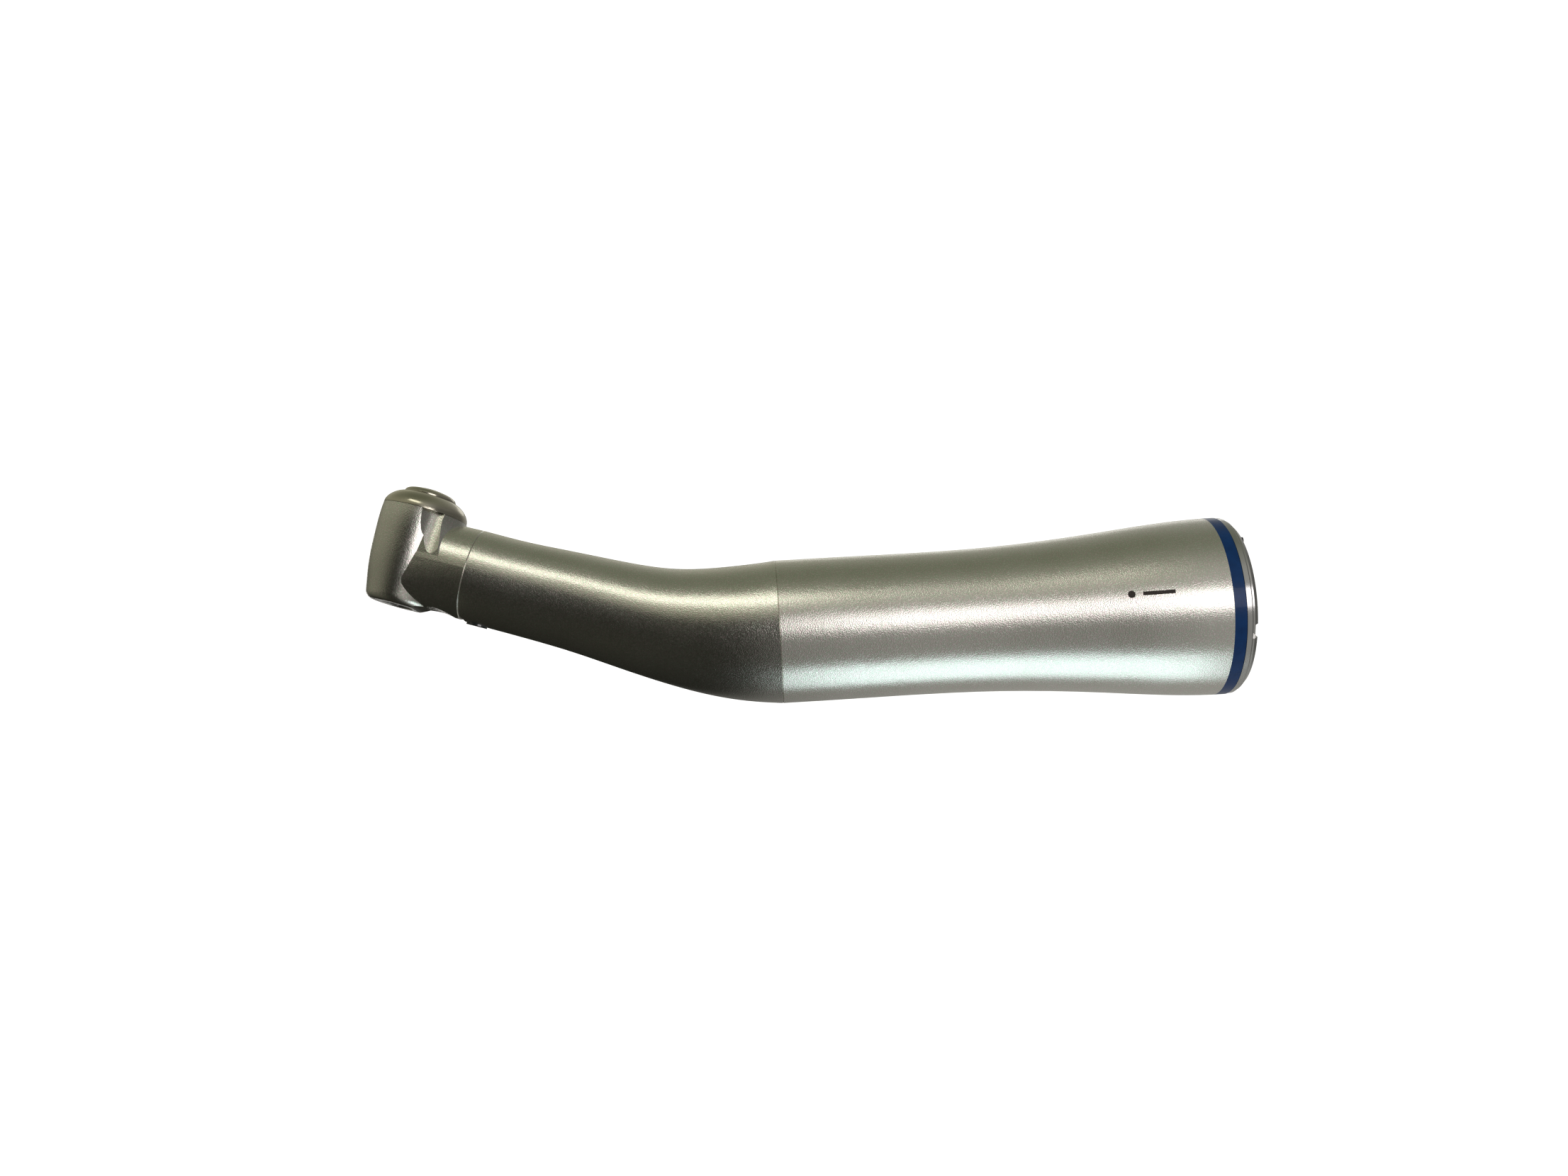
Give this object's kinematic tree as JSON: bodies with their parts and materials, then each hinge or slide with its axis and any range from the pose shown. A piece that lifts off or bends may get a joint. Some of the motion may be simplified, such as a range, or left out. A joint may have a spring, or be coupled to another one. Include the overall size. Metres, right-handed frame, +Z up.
{
  "type": "contra angle handpiece",
  "caption": "Bent dental handpiece: motor coupling with colour ring, satin grip and neck, geared drive line, and a small head with a push-button bur chuck.",
  "frame": {"origin": "centre of the rear end face, on the handle's axis, where the motor plugs in", "axes": "+X along the handle from the head towards the motor, +Z up on the push button's side, +Y to complete a right-handed frame"},
  "size_m": [0.0978, 0.02, 0.029],
  "materials": {
    "satin_body": "blasted satin with a fine sparkle grain",
    "polished_cap": "polished, slightly warm",
    "polished_ring": "polished",
    "blue_ring": "glossy deep blue enamel",
    "dark_pin": "satin black",
    "dark_glass": "polished dark glass",
    "light_guide": "polished glass rod",
    "spring_steel": "spring steel, drawn",
    "coupling_metal": "machined and passivated",
    "hard_shaft": "ground",
    "gear_steel": "cut and hardened",
    "tube_steel": "drawn",
    "bearing_steel": "ground and lapped",
    "bearing_ball": "lapped",
    "bearing_cage": "machined resin"
  },
  "bodies": {
    "handpiece": {"air_tube": "tube_steel", "button_retainer": "spring_steel", "button_spring": "spring_steel", "collar_ring": "polished_ring", "colour_ring": "blue_ring", "coupling_body": "coupling_metal", "coupling_clip": "spring_steel", "drive_bearing_front_outer_ring": "bearing_steel", "drive_bearing_rear_outer_ring": "bearing_steel", "end_ring": "polished_ring", "head_bearing_lower_outer_ring": "bearing_steel", "head_bearing_upper_outer_ring": "bearing_steel", "head_cap": "polished_cap", "head_housing": "satin_body", "light_guide": "light_guide", "light_window": "dark_glass", "locating_pin": "dark_pin", "neck_bearing_clip": "spring_steel", "neck_bearing_front_outer_ring": "bearing_steel", "neck_bearing_rear_outer_ring": "bearing_steel", "neck_sheath": "satin_body", "neck_sleeve": "coupling_metal", "nose_ring": "polished_ring", "preload_washer": "spring_steel", "rear_sheath": "satin_body", "shaft_carrier": "coupling_metal", "water_tube": "tube_steel"},
    "drive_unit": {"drive_shaft": "hard_shaft", "drive_dog": "hard_shaft", "drive_gear": "gear_steel", "drive_bearing_rear_inner_ring": "bearing_steel", "drive_bearing_front_inner_ring": "bearing_steel"},
    "drive_balls": {"drive_bearing_balls": "bearing_ball", "drive_bearing_cages": "bearing_cage"},
    "neck_unit": {"neck_shaft": "hard_shaft", "neck_gear": "gear_steel", "pinion_gear": "gear_steel", "neck_bearing_front_inner_ring": "bearing_steel", "neck_bearing_rear_inner_ring": "bearing_steel"},
    "neck_balls": {"neck_bearing_balls": "bearing_ball", "neck_bearing_cages": "bearing_cage"},
    "chuck_unit": {"chuck_spindle": "hard_shaft", "spring_collet": "spring_steel", "spindle_gear": "gear_steel", "head_bearing_lower_inner_ring": "bearing_steel", "head_bearing_upper_inner_ring": "bearing_steel"},
    "head_balls": {"head_bearing_balls": "bearing_ball", "head_bearing_cages": "bearing_cage"},
    "button": {"push_button": "polished_cap"},
    "release": {"release_pin": "hard_shaft"}
  },
  "joints": [
    {"name": "drive_shaft_spin", "type": "hinge", "parent": "handpiece", "child": "drive_unit", "pos_m": [-0.045, 0, 0], "axis": [1, 0, 0], "continuous": true},
    {"name": "neck_shaft_spin", "type": "hinge", "parent": "handpiece", "child": "neck_unit", "pos_m": [-0.07613, 0, 0.00547], "axis": [0.9511, 0, -0.309], "continuous": true},
    {"name": "chuck_spin", "type": "hinge", "parent": "handpiece", "child": "chuck_unit", "pos_m": [-0.0923, 0, 0.01072], "axis": [0.309, 0, 0.9511], "continuous": true},
    {"name": "drive_balls_spin", "type": "hinge", "parent": "handpiece", "child": "drive_balls", "pos_m": [-0.045, 0, 0], "axis": [1, 0, 0], "continuous": true},
    {"name": "neck_balls_spin", "type": "hinge", "parent": "handpiece", "child": "neck_balls", "pos_m": [-0.07613, 0, 0.00547], "axis": [0.9511, 0, -0.309], "continuous": true},
    {"name": "head_balls_spin", "type": "hinge", "parent": "handpiece", "child": "head_balls", "pos_m": [-0.0923, 0, 0.01072], "axis": [0.309, 0, 0.9511], "continuous": true},
    {"name": "button_press", "type": "slide", "parent": "handpiece", "child": "button", "axis": [-0.309, 0, -0.9511], "range_m": [0, 0.0005], "stiffness_N_per_m": 4000, "springref_m": -0.0005, "deforming": ["button_spring"]},
    {"name": "release_slide", "type": "slide", "parent": "chuck_unit", "child": "release", "axis": [-0.309, 0, -0.9511], "range_m": [0, 0.0005]}
  ],
  "couplings": [
    {"joint": "neck_shaft_spin", "follows": "drive_shaft_spin", "ratio": 1},
    {"joint": "chuck_spin", "follows": "drive_shaft_spin", "ratio": -1},
    {"joint": "drive_balls_spin", "follows": "drive_shaft_spin", "ratio": 0.35636},
    {"joint": "neck_balls_spin", "follows": "drive_shaft_spin", "ratio": 0.38235},
    {"joint": "head_balls_spin", "follows": "drive_shaft_spin", "ratio": -0.39501},
    {"joint": "release_slide", "follows": "button_press", "ratio": 1}
  ]
}
